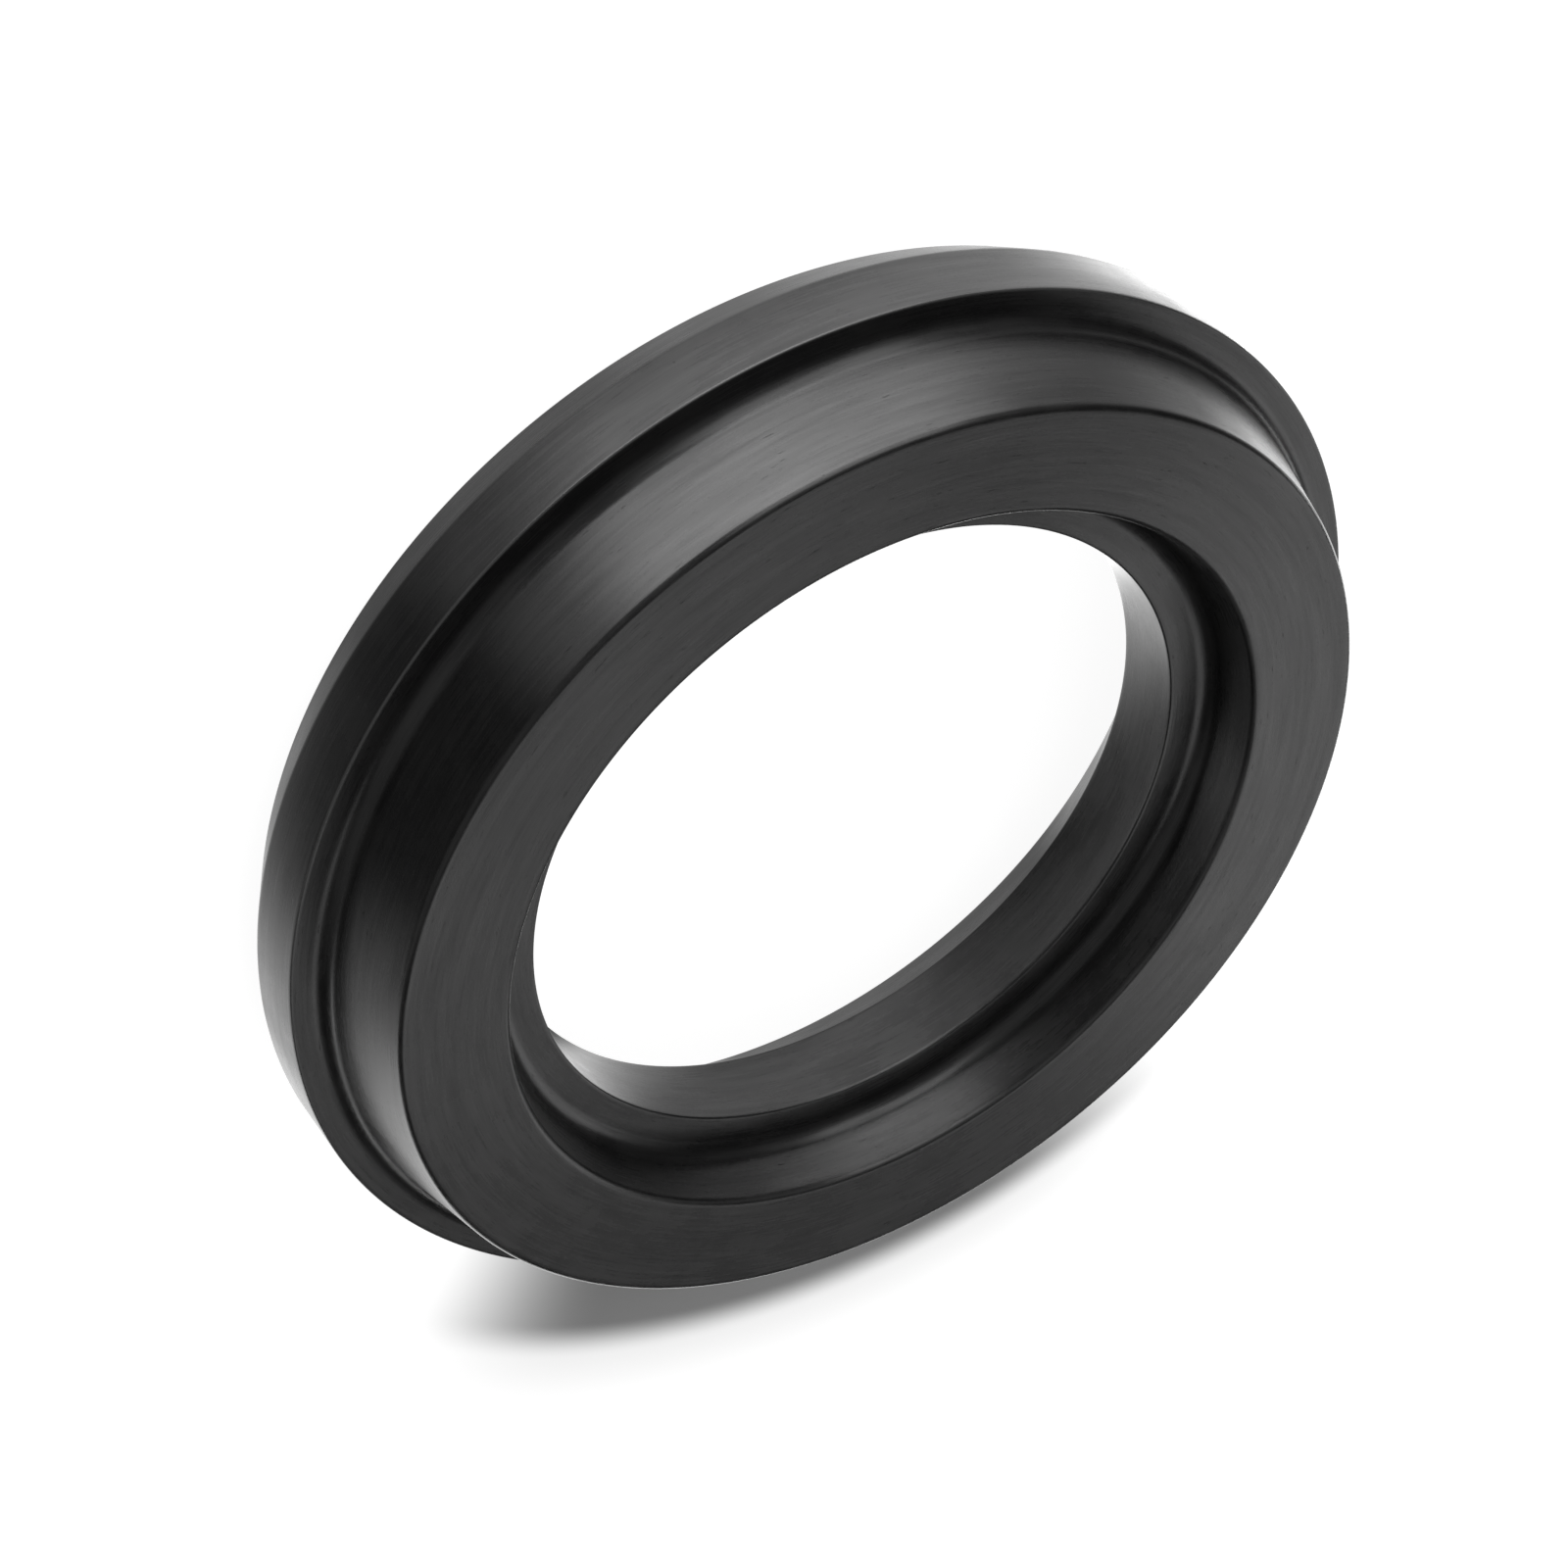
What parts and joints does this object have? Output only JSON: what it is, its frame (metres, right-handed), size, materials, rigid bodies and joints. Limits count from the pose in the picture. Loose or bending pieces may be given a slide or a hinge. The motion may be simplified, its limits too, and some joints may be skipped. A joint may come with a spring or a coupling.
{
  "type": "ring joint gasket",
  "caption": "Black one-piece ring gasket with a drafted flat-faced sealing nose on a wider flange, root fillets and both back edges bevelled.",
  "frame": {"origin": "centre of the back face, on the ring's axis, where the ring lies on a surface", "axes": "+Z along the ring's axis, from the flange's back face towards the nose; X and Y are equal by symmetry"},
  "size_m": [0.0778, 0.0778, 0.0148],
  "materials": {
    "black_rubber": "satin, fine circumferential turning marks"
  },
  "bodies": {
    "root": {"gasket_ring": "black_rubber"}
  },
  "joints": []
}
